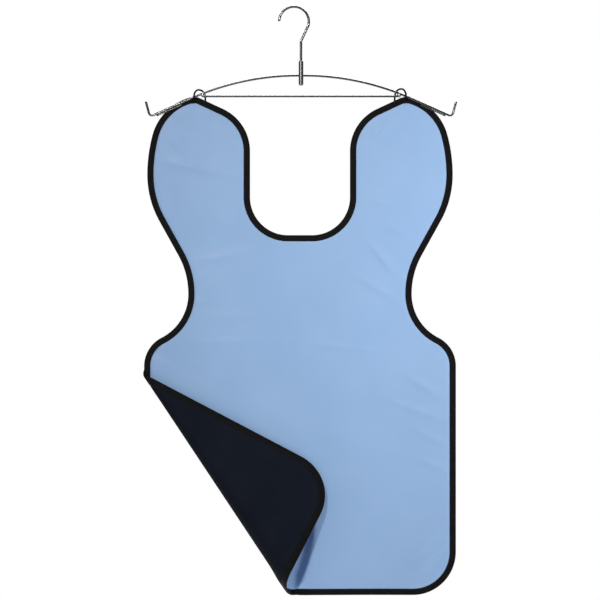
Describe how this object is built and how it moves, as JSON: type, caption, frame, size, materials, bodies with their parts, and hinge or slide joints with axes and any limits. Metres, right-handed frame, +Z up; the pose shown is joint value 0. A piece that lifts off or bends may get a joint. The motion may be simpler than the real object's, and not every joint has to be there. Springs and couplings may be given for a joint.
{
  "type": "lead apron",
  "caption": "Bib-shaped dental x-ray apron with bound edges, hung by cord loops from a swivel-hook wire hanger; one lower corner rolled up in front.",
  "frame": {"origin": "the point inside the hook's crown that rests on the rail", "axes": "+Z up along the hanging object, -Y the way the apron's front faces, +X to the right seen from the front"},
  "size_m": [0.4724, 0.0579, 0.8867],
  "materials": {
    "chrome_wire": "bright chrome plate",
    "barrel": "bright plated, slightly duller than the wire",
    "grip_rod": "plated, notched",
    "blue_cover": "light blue vinyl-faced nylon, soft satin sheen",
    "navy_cover": "near-black navy woven backing, matt",
    "lead_vinyl": "grey lead-loaded vinyl sheet, matt",
    "binding": "black folded edge tape, fine ribs",
    "cord": "black round braided cord",
    "thread": "black sewing thread"
  },
  "bodies": {
    "hook": {"hook_wire": "chrome_wire"},
    "hanger": {"swivel_barrel": "barrel", "arc_wire": "chrome_wire", "crossbar": "chrome_wire", "left_weld": "chrome_wire", "right_weld": "chrome_wire", "left_grip_rod": "grip_rod", "right_grip_rod": "grip_rod"},
    "apron": {"left_cord_loop": "cord", "right_cord_loop": "cord", "left_loop_tacks": "thread", "right_loop_tacks": "thread", "front_cover_panel": "blue_cover", "front_lead_sheet_panel": "lead_vinyl", "back_lead_sheet_panel": "lead_vinyl", "back_cover_panel": "navy_cover", "edge_binding_panel": "binding"},
    "fold_strip_1": {"front_cover_fold_strip_1": "blue_cover", "front_lead_sheet_fold_strip_1": "lead_vinyl", "back_lead_sheet_fold_strip_1": "lead_vinyl", "back_cover_fold_strip_1": "navy_cover", "edge_binding_fold_strip_1": "binding"},
    "fold_strip_2": {"front_cover_fold_strip_2": "blue_cover", "front_lead_sheet_fold_strip_2": "lead_vinyl", "back_lead_sheet_fold_strip_2": "lead_vinyl", "back_cover_fold_strip_2": "navy_cover", "edge_binding_fold_strip_2": "binding"},
    "fold_strip_3": {"front_cover_fold_strip_3": "blue_cover", "front_lead_sheet_fold_strip_3": "lead_vinyl", "back_lead_sheet_fold_strip_3": "lead_vinyl", "back_cover_fold_strip_3": "navy_cover", "edge_binding_fold_strip_3": "binding"},
    "flap": {"front_cover_flap": "blue_cover", "front_lead_sheet_flap": "lead_vinyl", "back_lead_sheet_flap": "lead_vinyl", "back_cover_flap": "navy_cover", "edge_binding_flap": "binding"}
  },
  "joints": [
    {"name": "hook_swivel", "type": "hinge", "parent": "hook", "child": "hanger", "pos_m": [0.0105, 0, -0.0788], "axis": [0, 0, 1], "continuous": true},
    {"name": "apron_swing", "type": "hinge", "parent": "hanger", "child": "apron", "pos_m": [0.009, 0, -0.12987], "axis": [1, 0, 0], "range_deg": [0, 20]},
    {"name": "fold_1", "type": "hinge", "parent": "apron", "child": "fold_strip_1", "pos_m": [-0.25101, 0.0024, -0.50726], "axis": [0.5793, 0, -0.8151], "range_deg": [0, 48.77]},
    {"name": "fold_2", "type": "hinge", "parent": "fold_strip_1", "child": "fold_strip_2", "pos_m": [-0.25101, 0.0024, -0.50726], "axis": [0.5524, -0.0367, -0.8328], "range_deg": [0, 48.77]},
    {"name": "fold_3", "type": "hinge", "parent": "fold_strip_2", "child": "fold_strip_3", "pos_m": [-0.25101, 0.0024, -0.50726], "axis": [0.556, -0.0851, -0.8268], "range_deg": [0, 48.77]},
    {"name": "fold_4", "type": "hinge", "parent": "fold_strip_3", "child": "flap", "pos_m": [-0.25101, 0.0024, -0.50726], "axis": [0.5878, -0.112, -0.8012], "range_deg": [0, 48.77]}
  ],
  "couplings": [
    {"joint": "fold_2", "follows": "fold_1", "ratio": 1},
    {"joint": "fold_3", "follows": "fold_1", "ratio": 1},
    {"joint": "fold_4", "follows": "fold_1", "ratio": 1}
  ]
}
